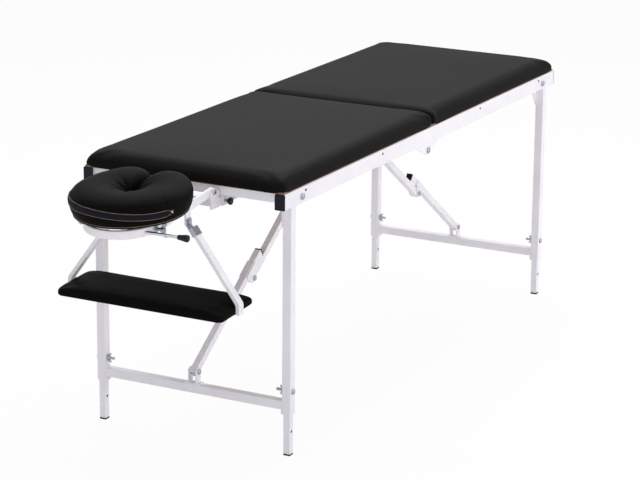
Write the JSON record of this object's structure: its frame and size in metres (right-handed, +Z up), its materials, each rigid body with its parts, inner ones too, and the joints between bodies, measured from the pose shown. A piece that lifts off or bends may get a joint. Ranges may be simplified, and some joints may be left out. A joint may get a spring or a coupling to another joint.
{
  "type": "treatment table",
  "caption": "Portable folding treatment table with padded top, braced telescopic legs, tilting face ring and hanging arm shelf.",
  "frame": {"origin": "centre of the overall footprint, on the floor", "axes": "+X towards the foot end along the table, +Y towards the far side, +Z up"},
  "size_m": [2.2259, 0.632, 0.7947],
  "materials": {
    "white_steel": "powder-coated steel, satin white",
    "zinc": "bright zinc plate",
    "navy_plastic": "moulded blue-black plastic",
    "leatherette": "black leatherette over foam",
    "plywood": "birch plywood",
    "rubber": "black rubber",
    "chrome": "bright rod"
  },
  "bodies": {
    "head_frame": {"side_rails_head": "white_steel", "cross_rails_head": "white_steel", "rail_caps_head": "navy_plastic", "hinge_plates_head": "white_steel", "frame_bolts_head": "zinc", "board_head": "plywood", "cushion_head": "leatherette", "headrest_sockets": "white_steel", "strut_bracket_head": "zinc"},
    "foot_frame": {"side_rails_foot": "white_steel", "cross_rails_foot": "white_steel", "rail_caps_foot": "navy_plastic", "hinge_plates_foot": "white_steel", "frame_bolts_foot": "zinc", "board_foot": "plywood", "cushion_foot": "leatherette", "strut_bracket_foot": "zinc"},
    "head_leg_set": {"legs_head": "white_steel", "crossbar_head": "white_steel", "leg_bolts_head": "zinc"},
    "head_upper_brace": {"upper_strut_head": "white_steel", "strut_plug_head": "navy_plastic"},
    "head_lower_brace": {"lower_strut_head": "white_steel", "elbow_bolt_head": "zinc"},
    "head_near_leg_end": {"extension_near_head": "white_steel", "foot_near_head": "rubber"},
    "head_near_wing_nut": {"wing_nut_near_head": "zinc"},
    "head_far_leg_end": {"extension_far_head": "white_steel", "foot_far_head": "rubber"},
    "head_far_wing_nut": {"wing_nut_far_head": "zinc"},
    "foot_leg_set": {"legs_foot": "white_steel", "crossbar_foot": "white_steel", "leg_bolts_foot": "zinc"},
    "foot_upper_brace": {"upper_strut_foot": "white_steel", "strut_plug_foot": "navy_plastic"},
    "foot_lower_brace": {"lower_strut_foot": "white_steel", "elbow_bolt_foot": "zinc"},
    "foot_near_leg_end": {"extension_near_foot": "white_steel", "foot_near_foot": "rubber"},
    "foot_near_wing_nut": {"wing_nut_near_foot": "zinc"},
    "foot_far_leg_end": {"extension_far_foot": "white_steel", "foot_far_foot": "rubber"},
    "foot_far_wing_nut": {"wing_nut_far_foot": "zinc"},
    "headrest_carriage": {"headrest_bracket": "white_steel", "tilt_bolts": "zinc"},
    "headrest_hoop": {"hoop": "white_steel", "shelf_rivets": "zinc", "clamp_stud": "zinc"},
    "face_pad": {"face_board": "plywood", "face_cushion": "leatherette", "face_lugs": "white_steel"},
    "hoop_clamp": {"clamp_rod": "chrome", "clamp_knob": "navy_plastic"},
    "hoop_wing_nut": {"clamp_wing_nut": "zinc"},
    "arm_shelf": {"shelf_straps": "white_steel", "shelf_brackets": "zinc", "shelf_board": "leatherette", "shelf_pad": "leatherette"},
    "near_socket_knob": {"socket_knob_near": "navy_plastic"},
    "far_socket_knob": {"socket_knob_far": "navy_plastic"}
  },
  "joints": [
    {"name": "table_fold", "type": "hinge", "parent": "head_frame", "child": "foot_frame", "pos_m": [0.20796, 0, 0.664], "axis": [0, 1, 0], "range_deg": [0, 100]},
    {"name": "head_leg_fold", "type": "hinge", "parent": "head_frame", "child": "head_leg_set", "pos_m": [-0.60204, 0, 0.714], "axis": [0, -1, 0], "range_deg": [0, 90]},
    {"name": "head_brace_top", "type": "hinge", "parent": "head_frame", "child": "head_upper_brace", "pos_m": [0.16796, 0, 0.722], "axis": [0, 1, 0], "range_deg": [-1, 31.84]},
    {"name": "head_brace_elbow", "type": "hinge", "parent": "head_upper_brace", "child": "head_lower_brace", "pos_m": [-0.32827, 0, 0.374], "axis": [0, -1, 0], "range_deg": [-1, 181]},
    {"name": "head_near_leg_height", "type": "slide", "parent": "head_leg_set", "child": "head_near_leg_end", "axis": [0, 0, 1], "range_m": [-0.055, 0.055]},
    {"name": "head_near_wing_nut_turn", "type": "hinge", "parent": "head_leg_set", "child": "head_near_wing_nut", "pos_m": [-0.63904, -0.2927, 0.182], "axis": [0, 1, 0], "continuous": true},
    {"name": "head_far_leg_height", "type": "slide", "parent": "head_leg_set", "child": "head_far_leg_end", "axis": [0, 0, 1], "range_m": [-0.055, 0.055]},
    {"name": "head_far_wing_nut_turn", "type": "hinge", "parent": "head_leg_set", "child": "head_far_wing_nut", "pos_m": [-0.63904, 0.2927, 0.182], "axis": [0, 1, 0], "continuous": true},
    {"name": "foot_leg_fold", "type": "hinge", "parent": "foot_frame", "child": "foot_leg_set", "pos_m": [1.01796, 0, 0.714], "axis": [0, 1, 0], "range_deg": [0, 90]},
    {"name": "foot_brace_top", "type": "hinge", "parent": "foot_frame", "child": "foot_upper_brace", "pos_m": [0.24796, 0, 0.722], "axis": [0, -1, 0], "range_deg": [-1, 31.84]},
    {"name": "foot_brace_elbow", "type": "hinge", "parent": "foot_upper_brace", "child": "foot_lower_brace", "pos_m": [0.74419, 0, 0.374], "axis": [0, 1, 0], "range_deg": [-1, 181]},
    {"name": "foot_near_leg_height", "type": "slide", "parent": "foot_leg_set", "child": "foot_near_leg_end", "axis": [0, 0, 1], "range_m": [-0.055, 0.055]},
    {"name": "foot_near_wing_nut_turn", "type": "hinge", "parent": "foot_leg_set", "child": "foot_near_wing_nut", "pos_m": [1.05496, -0.2927, 0.182], "axis": [0, 1, 0], "continuous": true},
    {"name": "foot_far_leg_height", "type": "slide", "parent": "foot_leg_set", "child": "foot_far_leg_end", "axis": [0, 0, 1], "range_m": [-0.055, 0.055]},
    {"name": "foot_far_wing_nut_turn", "type": "hinge", "parent": "foot_leg_set", "child": "foot_far_wing_nut", "pos_m": [1.05496, 0.2927, 0.182], "axis": [0, 1, 0], "continuous": true},
    {"name": "headrest_slide", "type": "slide", "parent": "head_frame", "child": "headrest_carriage", "axis": [-1, 0, 0], "range_m": [0, 0.08]},
    {"name": "near_socket_knob_turn", "type": "hinge", "parent": "head_frame", "child": "near_socket_knob", "pos_m": [-0.67904, -0.1123, 0.696], "axis": [0, 1, 0], "continuous": true},
    {"name": "far_socket_knob_turn", "type": "hinge", "parent": "head_frame", "child": "far_socket_knob", "pos_m": [-0.67904, 0.1123, 0.696], "axis": [0, 1, 0], "continuous": true},
    {"name": "headrest_tilt", "type": "hinge", "parent": "headrest_carriage", "child": "headrest_hoop", "pos_m": [-0.72104, 0, 0.7265], "axis": [0, 1, 0], "range_deg": [-20, 30]},
    {"name": "face_pad_tilt", "type": "hinge", "parent": "headrest_hoop", "child": "face_pad", "pos_m": [-1.03004, 0, 0.69075], "axis": [0, -1, 0], "range_deg": [0, 8]},
    {"name": "hoop_clamp_turn", "type": "hinge", "parent": "headrest_hoop", "child": "hoop_clamp", "pos_m": [-1.03004, 0, 0.69075], "axis": [0, 1, 0], "continuous": true},
    {"name": "hoop_wing_nut_turn", "type": "hinge", "parent": "headrest_hoop", "child": "hoop_wing_nut", "pos_m": [-1.00104, -0.121, 0.6941], "axis": [0, 1, 0], "continuous": true},
    {"name": "arm_shelf_swing", "type": "hinge", "parent": "headrest_hoop", "child": "arm_shelf", "pos_m": [-0.84104, 0, 0.67302], "axis": [0, 1, 0], "range_deg": [-45, 45]}
  ],
  "couplings": [
    {"joint": "head_brace_top", "follows": "head_leg_fold", "ratio": 0.34264},
    {"joint": "head_brace_elbow", "follows": "head_leg_fold", "ratio": 2},
    {"joint": "foot_brace_top", "follows": "foot_leg_fold", "ratio": 0.34264},
    {"joint": "foot_brace_elbow", "follows": "foot_leg_fold", "ratio": 2}
  ]
}
